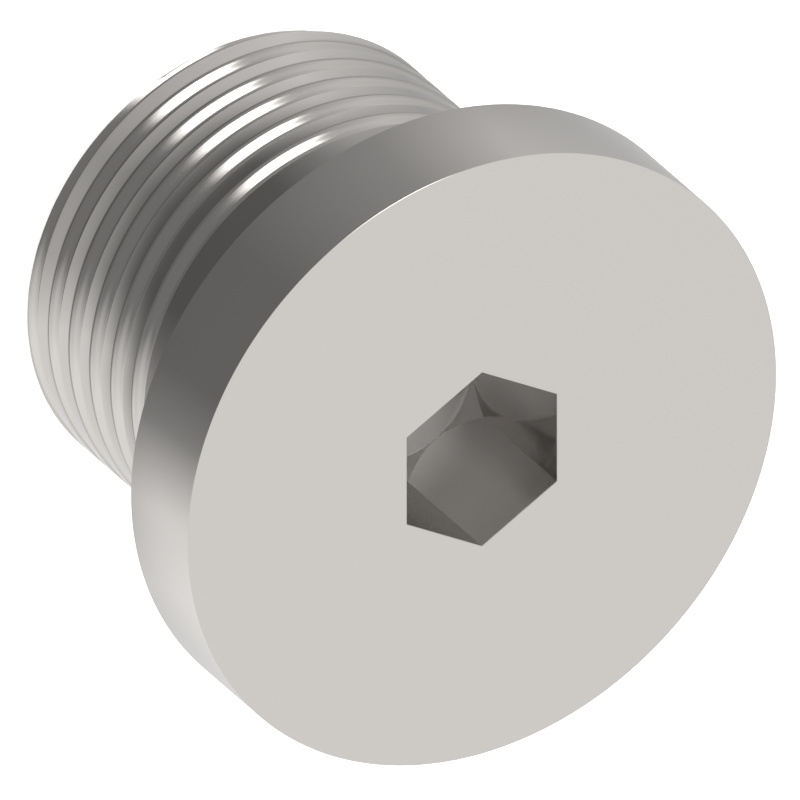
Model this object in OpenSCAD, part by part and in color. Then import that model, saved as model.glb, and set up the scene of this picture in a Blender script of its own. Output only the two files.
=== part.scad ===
// Screw plug turned from one piece of steel: a thin round head with a hexagon socket,
// a plain neck under it, and a shank with one right-hand thread.
// The plug stands on the end of its shank. The origin is on the axis, at the underside
// of the head, and +Z points out of the head.

/* [Head] */
// Diameter of the head
head_d = 24; // [20:0.5:32]
// Thickness of the head
head_t = 4; // [2:0.25:8]

/* [Hexagon socket] */
// Distance across the flats of the socket
socket_af = 6.12; // [4:0.02:10]
// Depth of the floor of the socket below the face of the head
socket_depth = 6; // [3:0.25:12]
// Angle between the axis and the cone that closes the corners of the socket
socket_cone_angle = 30; // [15:1:75]

/* [Shank] */
// Length of the shank below the head
shank_l = 13.5; // [8:0.25:30]
// Length of the 45 degree chamfer at the end of the shank
end_chamfer = 0.75; // [0.2:0.05:2]

/* [Thread] */
// Outer diameter of the thread, which the neck shares
thread_d = 17.75; // [14:0.05:19]
// Distance from the head to the middle of the groove where the thread starts
thread_start = 4.33; // [1:0.01:7]
// Direction, about the axis from +X, in which the thread starts
thread_start_angle = 310.9; // [0:0.1:360]
// Pitch of the thread
thread_pitch = 1.5; // [1:0.05:2]
// Width of the flat crest between two turns of the groove
crest_w = 0.77; // [0.2:0.05:1]
// Width of the flat bottom of the groove
root_w = 0.2; // [0.05:0.01:0.4]
// Angle between a flank of the groove and a plane across the axis
flank_angle = 40; // [20:1:45]
// Angle over which the groove deepens from nothing to its full depth
run_in_angle = 120; // [60:5:360]

/* [Hidden] */

$fn = 96;
// Flat steps that one turn of the groove is made of
steps_per_turn = 48;
// How far a cut runs out of the metal
clear = 0.2;
// Half of the angle between two corners of a hexagon
half_corner_angle = 30;

thread_r = thread_d / 2;
groove_w = thread_pitch - crest_w;
groove_depth = (groove_w - root_w) / 2 / tan(flank_angle);
socket_r = socket_af / 2;
socket_corner_r = socket_r / cos(half_corner_angle);

// Share of its full depth that the groove has, at an angle from its start
function depth_share(angle) = min(1, angle / run_in_angle);

// Corners of the groove's section as radius and height, at an angle from its start
function groove_section(angle) =
    let (
        height = -thread_start - thread_pitch * angle / 360,
        lift = (groove_depth + clear) * (1 - depth_share(angle)),
        inner_r = thread_r - groove_depth + lift,
        outer_r = thread_r + clear + lift,
        inner_half = root_w / 2,
        outer_half = inner_half + (outer_r - inner_r) * tan(flank_angle)
    )
    [
        [inner_r, height - inner_half],
        [outer_r, height - outer_half],
        [outer_r, height + outer_half],
        [inner_r, height + inner_half]
    ];

// One groove, wound down the shank from its start to past the end of the shank
module thread_groove() {
    depth_to_cut = shank_l - thread_start + thread_pitch;
    steps = ceil(steps_per_turn * depth_to_cut / thread_pitch);
    corners = 4;
    points = [
        for (step = [0:steps])
            let (angle = step * 360 / steps_per_turn, turned = thread_start_angle - angle)
            for (corner = groove_section(angle))
                [corner[0] * cos(turned), corner[0] * sin(turned), corner[1]]
    ];
    sides = [
        for (step = [0:steps - 1], corner = [0:corners - 1])
            let (
                this = corners * step + corner,
                next = corners * step + (corner + 1) % corners
            )
            each [
                [this, next + corners, next],
                [this, this + corners, next + corners]
            ]
    ];
    first_end = [for (corner = [0:corners - 1]) corner];
    last_end = [for (corner = [corners - 1:-1:0]) corners * steps + corner];
    polyhedron(points, concat(sides, [first_end, last_end]));
}

// Shank of the crest's diameter, with its chamfer and without its thread
module shank_blank() {
    translate([0, 0, end_chamfer - shank_l])
        cylinder(h = shank_l - end_chamfer + head_t / 2, r = thread_r);
    translate([0, 0, -shank_l])
        cylinder(h = end_chamfer, r1 = thread_r - end_chamfer, r2 = thread_r);
}

// Hexagon whose corners are closed by a cone, down to a round flat floor
module hexagon_socket() {
    cone_h = (socket_corner_r - socket_r) / tan(socket_cone_angle);
    translate([0, 0, head_t - socket_depth])
        intersection() {
            rotate(half_corner_angle)
                cylinder(h = socket_depth + clear, r = socket_corner_r, $fn = 6);
            union() {
                cylinder(h = cone_h, r1 = socket_r, r2 = socket_corner_r);
                translate([0, 0, cone_h])
                    cylinder(h = socket_depth, r = socket_corner_r + clear);
            }
        }
}

module plug() {
    color([0.62, 0.6, 0.57])
        difference() {
            union() {
                cylinder(h = head_t, d = head_d);
                shank_blank();
            }
            thread_groove();
            hexagon_socket();
        }
}

plug();
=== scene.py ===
# Looks of the screw plug: one turned piece of polished steel on a white floor.
# Lengths are in millimetres, and angles in degrees where math.radians doesn't turn them.
import math

import bmesh
import bpy
from mathutils import Matrix, Vector


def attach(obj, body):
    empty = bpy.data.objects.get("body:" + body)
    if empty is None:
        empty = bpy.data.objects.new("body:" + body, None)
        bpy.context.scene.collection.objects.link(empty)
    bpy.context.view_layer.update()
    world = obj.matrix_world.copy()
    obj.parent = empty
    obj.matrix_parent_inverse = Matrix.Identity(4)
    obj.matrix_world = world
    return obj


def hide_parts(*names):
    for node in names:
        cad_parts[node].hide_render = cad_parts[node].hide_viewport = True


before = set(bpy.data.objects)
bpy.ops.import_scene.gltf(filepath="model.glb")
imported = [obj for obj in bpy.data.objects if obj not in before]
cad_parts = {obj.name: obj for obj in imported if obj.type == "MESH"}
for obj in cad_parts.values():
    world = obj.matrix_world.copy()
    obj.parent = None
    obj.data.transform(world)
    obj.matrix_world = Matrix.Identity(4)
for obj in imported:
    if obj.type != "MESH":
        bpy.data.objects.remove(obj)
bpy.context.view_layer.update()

MM = 0.001

# Head and socket
HEAD_R = 12.0
HEAD_T = 4.0
SOCKET_R = 3.06
SOCKET_FLOOR = HEAD_T - 6.0
SOCKET_CONE = 30.0
RIM_EDGE = 0.01
MOUTH_EDGE = 0.012

# Shank and thread
SHANK_R = 8.875
SHANK_L = 13.5
END_CHAMFER = 0.75
PITCH = 1.5
CREST_W = 0.77
ROOT_W = 0.2
FLANK = math.radians(40)
THREAD_START = 4.33
START_ANGLE = 310.9
RUN_IN = 120.0
GROOVE_DEPTH = (PITCH - CREST_W - ROOT_W) / 2 / math.tan(FLANK)

# The crest's corner away from the head is sharp. Its other corner and the root are rounded
CREST_EDGE = 0.04
CREST_ROUND = 0.36
ROOT_ROUND = 0.36
ARC_STEPS = 10

# Steps round the axis. FIRST is the angle from the groove's start to the first of them
TURN = 240
STEP = 360.0 / TURN
FIRST = (START_ANGLE - 360) % STEP
ANGLES = [START_ANGLE - FIRST - STEP * i for i in range(TURN)]

# Rings cut into the chamfer at the end, and the angle from which an edge shades sharp
CHAMFER_RINGS = 8
CHAMFER_STEP = 0.1
SHARP = math.radians(24)

# Steel: colour, and roughness from its smoothest to its dullest spots
STEEL = (0.615, 0.592, 0.568, 1)
STEEL_ROUGH = (0.13, 0.17)
# The broached socket's walls, the cone of its drill point and its floor. Their colours are painted: painted
# shade darkens the walls, and painted light brightens the cone and the floor.
WALL_PAINTED_SHADE = (0.5, 0.488, 0.475, 1)
CONE_PAINTED_LIGHT = (0.95, 0.93, 0.91, 1)
SOCKET_FLOOR_PAINTED_LIGHT = (0.74, 0.72, 0.7, 1)
WALL_ROUGH = 0.11
CONE_ROUGH = 0.6
FLOOR_ROUGH = 0.25

# The side of the plug that faces the camera, and the direction across it. Bearings are measured from NEAR
NEAR = Vector((-0.6547, 0.7559, 0.0))
ACROSS = Vector((-0.7559, -0.6547, 0.0))
UP = Vector((0, 0, 1))

# The camera's right, up and back, the width that it sees, and its aim from the middle of the head
CAM_RIGHT = Vector((0.8660, 0.0, 0.5))
CAM_UP = Vector((0.25, 0.8660, -0.4330))
CAM_BACK = Vector((-0.4330, 0.5, 0.75))
VIEW_W = 28.23
AIM_RIGHT = -2.897
AIM_UP = 2.096
CAM_FAR = 150.0

# Stage: the floor, the card over it and the dome
FLOOR_Z = -SHANK_L
FLOOR_HALF = 500.0
CARD_LIFT = 0.03
DOME_R = 600.0
CARD_LEVEL = 1.28

# The soft light in the dome: each edge from dark to light, and how much three of them lean
SOFT_LIGHT = 3.4
SOFT_LEFT = (-58, -46)
SOFT_RIGHT = (-11, -34)
SOFT_LOW = (8, 14)
SOFT_TOP = (66, 62)
LEFT_LEAN = 0.22
RIGHT_LEAN = 0.125
TOP_LEAN = -0.36

# Greys that mirrors see on the floor, by bearing: close to the shank, round it and far out
CLOSE_STEPS = [
    (-180, 0.55), (-90, 0.38), (-55, 0.65), (-30, 0.55), (5, 0.35), (35, 0.45), (55, 0.74), (180, 0.55),
]
MIDDLE_STEPS = [
    (-180, 0.5), (-110, 0.45), (-60, 0.3), (-25, 0.1), (30, 0.09), (60, 0.19), (80, 0.42), (100, 0.63),
    (180, 0.5),
]
FAR_STEPS = [
    (-180, 0.55), (-115, 0.45), (-75, 0.55), (-45, 0.29), (0, 0.15), (35, 0.15), (50, 0.25), (72, 0.8),
    (95, 0.87), (180, 0.55),
]
CLOSE_TO_MIDDLE = (9.5, 15.0)
MIDDLE_TO_FAR = (18.5, 24.5)
# How far the change from close to middle moves out, as a share of SHIFT
SHIFT = 3.0
SHIFT_STEPS = [(-180, 0.85), (-57, 0.85), (-25, 0.3), (5, 0.15), (30, 0.25), (57, 0.8), (180, 0.85)]
# Greys of the dome, by bearing, and at its top
DOME_STEPS = [
    (-180, 0.78), (-115, 0.5), (-87, 0.62), (-55, 0.32), (-10, 0.18), (49, 0.19), (67, 0.6), (88, 0.87),
    (180, 0.78),
]
DOME_TOP = 0.72


def polar(r, degrees, z):
    """A point in metres."""
    a = math.radians(degrees)
    return Vector((r * math.cos(a), r * math.sin(a), z)) * MM


def arc(centre, radius, first, last):
    """Points on an arc in the plane of radius and height, angles in radians."""
    angles = [first + (last - first) * i / ARC_STEPS for i in range(ARC_STEPS + 1)]
    return [(centre[0] + radius * math.cos(a), centre[1] + radius * math.sin(a)) for a in angles]


def side(half, depth, root_half, crest_round, root_round):
    """One side of the groove, crest to root, as radius and distance from the groove's middle."""
    turn = math.pi / 2 - FLANK
    room = depth / math.cos(FLANK)
    crest_t = min(crest_round * math.tan(turn / 2), room * 0.49)
    root_t = min(root_round * math.tan(turn / 2), room * 0.49, root_half * 1.96)
    crest_r = crest_t / math.tan(turn / 2)
    root_r = root_t / math.tan(turn / 2)
    points = arc((SHANK_R - crest_r, half + crest_t), crest_r, 0.0, -turn)
    if root_round > 0:
        points += arc((SHANK_R - depth + root_r, root_half - root_t), root_r, math.pi - turn, math.pi)
    else:
        points.append((SHANK_R - depth, root_half))
    return points


def groove_profile(share):
    """The groove's section from the crest above to the crest below, as radius and height from its middle."""
    depth = max(GROOVE_DEPTH * share, 1e-5)
    root_half = ROOT_W / 2 * min(1.0, depth / GROOVE_DEPTH * 3)
    half = root_half + depth * math.tan(FLANK)
    upper = side(half, depth, root_half, CREST_EDGE, 0.0)
    lower = side(half, depth, root_half, CREST_ROUND, ROOT_ROUND)
    return upper + [(r, -z) for r, z in reversed(lower)]


def groove_height(angle):
    return -THREAD_START - PITCH * angle / 360


def thread_rows(bm):
    """Sections of the groove, from its start as one point to below the end of the shank."""
    tip = bm.verts.new(polar(SHANK_R, START_ANGLE - FIRST, groove_height(FIRST)))
    rows = [[tip] * len(groove_profile(1.0))]
    count = math.ceil((SHANK_L + PITCH - THREAD_START) / PITCH * TURN) + TURN
    for i in range(1, count):
        angle = FIRST + STEP * i
        section = groove_profile(min(1.0, angle / RUN_IN))
        height = groove_height(angle)
        rows.append([bm.verts.new(polar(r, START_ANGLE - angle, height + z)) for r, z in section])
    return rows


def skin_thread(bm, rows):
    """Faces along the groove, and along the crest between one turn and the next."""
    for i in range(len(rows) - 1):
        this, following = rows[i], rows[i + 1]
        for j in range(len(this) - 1):
            corners = list(dict.fromkeys([this[j], this[j + 1], following[j + 1], following[j]]))
            if len(corners) > 2:
                bm.faces.new(corners)
        if i + TURN + 1 < len(rows):
            bm.faces.new([this[-1], rows[i + TURN][0], rows[i + TURN + 1][0], following[-1]])


def hexagon(angle, edge=0.0):
    """The radius of the socket's wall at an angle."""
    off = (angle + 30) % 60 - 30
    return (SOCKET_R + edge) / math.cos(math.radians(off))


def cone_top(angle):
    """The height at which the cone of the drill point meets the socket's wall."""
    return SOCKET_FLOOR + (hexagon(angle) - SOCKET_R) / math.tan(math.radians(SOCKET_CONE)) + 1e-4


def ring(bm, place):
    """Points round the axis, at the radius and height that place gives for their angle."""
    return [bm.verts.new(polar(place(a)[0], a, place(a)[1])) for a in ANGLES]


def skin(bm, upper, lower):
    for i in range(TURN):
        j = (i + 1) % TURN
        bm.faces.new([upper[i], lower[i], lower[j], upper[j]])


def add_head(bm, rows):
    """The neck above the thread, the head and the socket."""
    places = [
        lambda a: (SHANK_R, 0.0),
        lambda a: (HEAD_R - RIM_EDGE, 0.0),
        lambda a: (HEAD_R, RIM_EDGE),
        lambda a: (HEAD_R, HEAD_T - RIM_EDGE),
        lambda a: (HEAD_R - RIM_EDGE, HEAD_T),
        lambda a: (hexagon(a, MOUTH_EDGE), HEAD_T),
        lambda a: (hexagon(a), HEAD_T - MOUTH_EDGE),
        lambda a: (hexagon(a), cone_top(a)),
        lambda a: (SOCKET_R - 1e-4, SOCKET_FLOOR),
    ]
    rings = [ring(bm, place) for place in places]
    for lower, upper in zip(rings, rings[1:]):
        skin(bm, upper, lower)
    bm.faces.new(list(reversed(rings[-1])))
    neck = rings[0]
    for i in range(TURN - 1):
        bm.faces.new([neck[i], rows[i][0], rows[i + 1][0], neck[i + 1]])
    bm.faces.new([neck[-1], rows[TURN - 1][0], rows[TURN][0], rows[0][0], neck[0]])


def cut(bm, height, clear=False):
    """Cut the mesh at a height, and clear what is below it if asked."""
    geometry = bm.verts[:] + bm.edges[:] + bm.faces[:]
    bmesh.ops.bisect_plane(
        bm, geom=geometry, plane_co=(0, 0, height * MM), plane_no=(0, 0, 1), dist=1e-9, clear_inner=clear
    )


def finish_end(bm):
    """Cut the shank flat at its end, draw the rim in to the chamfer and close it."""
    for i in range(CHAMFER_RINGS):
        cut(bm, -SHANK_L + END_CHAMFER - CHAMFER_STEP * i)
    cut(bm, -SHANK_L, clear=True)
    for v in bm.verts:
        over = (-SHANK_L + END_CHAMFER) * MM - v.co.z
        limit = SHANK_R * MM - over
        r = math.hypot(v.co.x, v.co.y)
        if over > 0 and r > limit:
            v.co.x *= limit / r
            v.co.y *= limit / r
    rim = [e for e in bm.edges if e.is_boundary]
    centre = bm.verts.new((0, 0, -SHANK_L * MM))
    for e in rim:
        bm.faces.new([e.verts[0], e.verts[1], centre])


def shade(bm):
    """Smooth shading, sharp at the true edges."""
    for f in bm.faces:
        f.smooth = True
    for e in bm.edges:
        if len(e.link_faces) == 2 and e.calc_face_angle(0.0) > SHARP:
            e.smooth = False


def add_object(name, mesh):
    obj = bpy.data.objects.new(name, mesh)
    bpy.context.scene.collection.objects.link(obj)
    return obj


def build_plug():
    bm = bmesh.new()
    rows = thread_rows(bm)
    skin_thread(bm, rows)
    add_head(bm, rows)
    finish_end(bm)
    bmesh.ops.remove_doubles(bm, verts=bm.verts[:], dist=2e-8)
    bmesh.ops.dissolve_degenerate(bm, edges=bm.edges[:], dist=1e-8)
    bmesh.ops.recalc_face_normals(bm, faces=bm.faces[:])
    shade(bm)
    mesh = bpy.data.meshes.new("plug_body")
    bm.to_mesh(mesh)
    bm.free()
    obj = add_object("plug_body", mesh)
    weighted = obj.modifiers.new("weighted_normals", "WEIGHTED_NORMAL")
    weighted.keep_sharp = True
    weighted.weight = 60
    return obj


def new_material(name):
    """A material with nothing but its output."""
    mat = bpy.data.materials.new(name)
    mat.use_nodes = True
    mat.node_tree.nodes.remove(mat.node_tree.nodes["Principled BSDF"])
    return mat


def fill(tree, socket, value):
    """Set a socket to a constant, or link it to another socket."""
    if isinstance(value, (int, float, tuple)):
        socket.default_value = value
    else:
        tree.links.new(value, socket)


def calculate(tree, operation, *values):
    n = tree.nodes.new("ShaderNodeMath")
    n.operation = operation
    for socket, value in zip(n.inputs, values):
        fill(tree, socket, value)
    return n.outputs[0]


def times(tree, *values):
    product = values[0]
    for value in values[1:]:
        product = calculate(tree, "MULTIPLY", product, value)
    return product


def leaning(tree, value, other, slope):
    """The value plus a share of the other one."""
    return calculate(tree, "MULTIPLY_ADD", other, slope, value)


def length(tree, first, second):
    squares = calculate(tree, "ADD", times(tree, first, first), times(tree, second, second))
    return calculate(tree, "SQRT", squares)


def smooth(tree, value, first, last):
    """0 before first, 1 after last, or the other way round."""
    step = tree.nodes.new("ShaderNodeMapRange")
    step.interpolation_type = "SMOOTHSTEP"
    step.inputs["From Min"].default_value = min(first, last)
    step.inputs["From Max"].default_value = max(first, last)
    step.inputs["To Min"].default_value = 1.0 if first > last else 0.0
    step.inputs["To Max"].default_value = 0.0 if first > last else 1.0
    tree.links.new(value, step.inputs["Value"])
    return step.outputs["Result"]


def mixed(tree, share, first, second):
    mix = tree.nodes.new("ShaderNodeMix")
    mix.data_type = "RGBA"
    fill(tree, mix.inputs["Factor"], share)
    fill(tree, mix.inputs["A"], first)
    fill(tree, mix.inputs["B"], second)
    return mix.outputs["Result"]


def grey(level):
    return (level, level, level, 1)


def emission(tree, colour, strength):
    glow = tree.nodes.new("ShaderNodeEmission")
    fill(tree, glow.inputs["Color"], colour)
    fill(tree, glow.inputs["Strength"], strength)
    return glow.outputs[0]


def added(tree, first, second):
    both = tree.nodes.new("ShaderNodeAddShader")
    tree.links.new(first, both.inputs[0])
    tree.links.new(second, both.inputs[1])
    return both.outputs[0]


def show(tree, shader):
    tree.links.new(shader, tree.nodes["Material Output"].inputs["Surface"])


def turned_polish(tree, coords):
    """Roughness with slow differences."""
    noise = tree.nodes.new("ShaderNodeTexNoise")
    noise.inputs["Scale"].default_value = 420.0
    noise.inputs["Detail"].default_value = 3.0
    tree.links.new(coords.outputs["Object"], noise.inputs["Vector"])
    rough = tree.nodes.new("ShaderNodeMapRange")
    rough.inputs["From Min"].default_value = 0.3
    rough.inputs["From Max"].default_value = 0.7
    rough.inputs["To Min"].default_value = STEEL_ROUGH[0]
    rough.inputs["To Max"].default_value = STEEL_ROUGH[1]
    tree.links.new(noise.outputs["Fac"], rough.inputs["Value"])
    return rough.outputs["Result"]


def lathe_marks(tree, radius, height):
    """Very fine bump: rings on the head, lines round the shank."""
    place = tree.nodes.new("ShaderNodeCombineXYZ")
    tree.links.new(radius, place.inputs["X"])
    tree.links.new(height, place.inputs["Y"])
    marks = tree.nodes.new("ShaderNodeTexNoise")
    marks.inputs["Scale"].default_value = 9000.0
    marks.inputs["Detail"].default_value = 2.0
    tree.links.new(place.outputs["Vector"], marks.inputs["Vector"])
    bump = tree.nodes.new("ShaderNodeBump")
    bump.inputs["Strength"].default_value = 0.012
    bump.inputs["Distance"].default_value = 0.00002
    tree.links.new(marks.outputs["Fac"], bump.inputs["Height"])
    return bump.outputs["Normal"]


def socket_shares(tree, coords, radius, height):
    """How much of a point is in the socket, on its cone or floor, and on its floor. The shares place the
    socket's painted shade and painted light, and its roughness.
    """
    above_floor = smooth(tree, height, (SOCKET_FLOOR - 1) * MM, (SOCKET_FLOOR - 0.5) * MM)
    below_mouth = smooth(tree, height, (HEAD_T - 0.01) * MM, (HEAD_T - 0.1) * MM)
    within = smooth(tree, radius, (SOCKET_R + 0.74) * MM, (SOCKET_R + 0.64) * MM)
    inside = times(tree, above_floor, below_mouth, within)
    facing = tree.nodes.new("ShaderNodeSeparateXYZ")
    tree.links.new(coords.outputs["Normal"], facing.inputs["Vector"])
    cone = times(tree, inside, smooth(tree, facing.outputs["Z"], 0.2, 0.4))
    bottom = times(tree, inside, smooth(tree, facing.outputs["Z"], 0.7, 0.9))
    return inside, cone, bottom


def steel_material():
    mat = bpy.data.materials.new("polished_steel")
    mat.use_nodes = True
    tree = mat.node_tree
    bsdf = tree.nodes["Principled BSDF"]
    bsdf.inputs["Metallic"].default_value = 1.0
    coords = tree.nodes.new("ShaderNodeTexCoord")
    split = tree.nodes.new("ShaderNodeSeparateXYZ")
    tree.links.new(coords.outputs["Object"], split.inputs["Vector"])
    height = split.outputs["Z"]
    radius = length(tree, split.outputs["X"], split.outputs["Y"])
    inside, cone, bottom = socket_shares(tree, coords, radius, height)
    # Inside the socket the colour holds painted shade on the walls and painted light on the cone and the
    # floor
    colour = mixed(tree, inside, STEEL, WALL_PAINTED_SHADE)
    colour = mixed(tree, cone, colour, CONE_PAINTED_LIGHT)
    colour = mixed(tree, bottom, colour, SOCKET_FLOOR_PAINTED_LIGHT)
    dull = mixed(tree, inside, turned_polish(tree, coords), grey(WALL_ROUGH))
    dull = mixed(tree, cone, dull, grey(CONE_ROUGH))
    dull = mixed(tree, bottom, dull, grey(FLOOR_ROUGH))
    tree.links.new(colour, bsdf.inputs["Base Color"])
    tree.links.new(dull, bsdf.inputs["Roughness"])
    tree.links.new(lathe_marks(tree, radius, height), bsdf.inputs["Normal"])
    return mat


def sheet(name, half, height):
    """A square that lies flat."""
    s, z = half * MM, height * MM
    mesh = bpy.data.meshes.new(name)
    mesh.from_pydata([(-s, -s, z), (s, -s, z), (s, s, z), (-s, s, z)], [], [(0, 1, 2, 3)])
    return add_object(name, mesh)


def seen_by_metal(tree):
    """1 for the camera and for what mirrors or glass show, else 0."""
    path = tree.nodes.new("ShaderNodeLightPath")
    first = calculate(tree, "MAXIMUM", path.outputs["Is Camera Ray"], path.outputs["Is Glossy Ray"])
    return calculate(tree, "MAXIMUM", first, path.outputs["Is Transmission Ray"])


def add_floor():
    """White paint that keeps the plug's shadow."""
    mat = new_material("white_floor")
    tree = mat.node_tree
    paint = tree.nodes.new("ShaderNodeBsdfDiffuse")
    paint.inputs["Color"].default_value = grey(0.8)
    glow = emission(tree, grey(1), times(tree, seen_by_metal(tree), 0.75))
    show(tree, added(tree, paint.outputs[0], glow))
    floor = sheet("floor", FLOOR_HALF, FLOOR_Z)
    floor.data.materials.append(mat)


def only_for_mirrors(obj, mat):
    """Stage that mirrors show. The camera doesn't see it, and it throws no shadow."""
    obj.data.materials.append(mat)
    obj.visible_camera = False
    obj.visible_shadow = False
    obj.visible_diffuse = False


def position_nodes(tree):
    """The bearing in radians, the distance from the axis in metres and the rise in radians."""
    place = tree.nodes.new("ShaderNodeTexCoord")

    def along(direction):
        dot = tree.nodes.new("ShaderNodeVectorMath")
        dot.operation = "DOT_PRODUCT"
        tree.links.new(place.outputs["Object"], dot.inputs[0])
        dot.inputs[1].default_value = tuple(direction)
        return dot.outputs["Value"]

    near, across, high = along(NEAR), along(ACROSS), along(UP)
    turn = calculate(tree, "ARCTAN2", across, near)
    radius = length(tree, near, across)
    rise = calculate(tree, "ARCTAN2", high, radius)
    return turn, radius, rise


def grey_round(tree, turn, steps):
    """Grey level that changes with the bearing."""
    share = tree.nodes.new("ShaderNodeMapRange")
    share.inputs["From Min"].default_value = -math.pi
    share.inputs["From Max"].default_value = math.pi
    tree.links.new(turn, share.inputs["Value"])
    ramp = tree.nodes.new("ShaderNodeValToRGB")
    elements = ramp.color_ramp.elements
    elements.remove(elements[-1])
    for i, (degrees, level) in enumerate(steps):
        place = (degrees + 180) / 360
        e = elements[0] if i == 0 else elements.new(place)
        e.position = place
        e.color = grey(level)
    tree.links.new(share.outputs[0], ramp.inputs["Fac"])
    return ramp.outputs["Color"]


def add_floor_card():
    """What mirrors see over the floor: light at the sides, dark towards the camera."""
    mat = new_material("floor_card")
    tree = mat.node_tree
    turn, radius, _ = position_nodes(tree)
    shifted = leaning(tree, radius, grey_round(tree, turn, SHIFT_STEPS), -SHIFT * MM)
    out = smooth(tree, shifted, CLOSE_TO_MIDDLE[0] * MM, CLOSE_TO_MIDDLE[1] * MM)
    further_out = smooth(tree, radius, MIDDLE_TO_FAR[0] * MM, MIDDLE_TO_FAR[1] * MM)
    colour = mixed(tree, out, grey_round(tree, turn, CLOSE_STEPS), grey_round(tree, turn, MIDDLE_STEPS))
    colour = mixed(tree, further_out, colour, grey_round(tree, turn, FAR_STEPS))
    show(tree, emission(tree, colour, CARD_LEVEL))
    only_for_mirrors(sheet("floor_card", DOME_R, FLOOR_Z + CARD_LIFT), mat)


def soft_light(tree, turn, rise):
    """Where the soft light is. Its sides lean, and its upper edge slopes down towards the left."""
    left = smooth(tree, leaning(tree, turn, rise, LEFT_LEAN), *map(math.radians, SOFT_LEFT))
    right = smooth(tree, leaning(tree, turn, rise, RIGHT_LEAN), *map(math.radians, SOFT_RIGHT))
    low = smooth(tree, rise, *map(math.radians, SOFT_LOW))
    top = smooth(tree, leaning(tree, rise, turn, TOP_LEAN), *map(math.radians, SOFT_TOP))
    return times(tree, left, right, low, top)


def add_surround():
    """A dome that mirrors see: dark on the camera's side, light elsewhere, with one soft light in it."""
    mat = new_material("surround")
    tree = mat.node_tree
    turn, _, rise = position_nodes(tree)
    top = smooth(tree, rise, math.radians(60), math.radians(80))
    base = mixed(tree, top, grey_round(tree, turn, DOME_STEPS), grey(DOME_TOP))
    light = emission(tree, grey(1), times(tree, soft_light(tree, turn, rise), SOFT_LIGHT))
    show(tree, added(tree, emission(tree, base, CARD_LEVEL), light))
    bm = bmesh.new()
    bmesh.ops.create_uvsphere(bm, u_segments=96, v_segments=48, radius=DOME_R * MM)
    mesh = bpy.data.meshes.new("surround")
    bm.to_mesh(mesh)
    bm.free()
    only_for_mirrors(add_object("surround", mesh), mat)


def bearing(degrees, elevation):
    """Direction from the plug, in degrees from the camera's side and above the floor."""
    a, e = math.radians(degrees), math.radians(elevation)
    flat = NEAR * math.cos(a) + ACROSS * math.sin(a)
    return flat * math.cos(e) + UP * math.sin(e)


def add_lamp(name, direction, size, power):
    """A square lamp 0.4 m from the plug, size in metres and power in watts. Mirrors don't show it."""
    data = bpy.data.lights.new(name, "AREA")
    data.shape = "SQUARE"
    data.size = size
    data.energy = power
    lamp = add_object(name, data)
    lamp.location = direction.normalized() * 0.4
    lamp.rotation_euler = direction.to_track_quat("Z", "Y").to_euler()
    lamp.visible_glossy = False


def add_world():
    """White for the camera, a plain level for light."""
    world = bpy.data.worlds.new("world")
    bpy.context.scene.world = world
    world.use_nodes = True
    tree = world.node_tree
    path = tree.nodes.new("ShaderNodeLightPath")
    level = calculate(tree, "MULTIPLY_ADD", path.outputs["Is Camera Ray"], 0.45, 0.55)
    level = calculate(tree, "MULTIPLY_ADD", path.outputs["Is Glossy Ray"], 0.27, level)
    background = tree.nodes["Background"]
    background.inputs["Color"].default_value = grey(1)
    tree.links.new(level, background.inputs["Strength"])


def add_camera():
    """The photograph's camera, without perspective."""
    data = bpy.data.cameras.new("camera")
    data.type = "ORTHO"
    data.ortho_scale = VIEW_W * MM
    data.clip_start = 0.01
    data.clip_end = 5.0
    camera = add_object("camera", data)
    aim = UP * HEAD_T + AIM_RIGHT * CAM_RIGHT + AIM_UP * CAM_UP + CAM_FAR * CAM_BACK
    turn = Matrix((CAM_RIGHT, CAM_UP, CAM_BACK)).transposed()
    camera.matrix_world = Matrix.Translation(aim * MM) @ turn.to_4x4()
    bpy.context.scene.camera = camera


plug = build_plug()
plug.data.materials.append(steel_material())
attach(plug, "root")
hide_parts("plug")

add_floor()
add_floor_card()
add_surround()
add_lamp("key", bearing(-60, 60), 0.25, 1.2)
add_lamp("fill", bearing(120, 65), 0.3, 0.9)
add_world()
add_camera()
bpy.context.scene.view_settings.view_transform = "Standard"
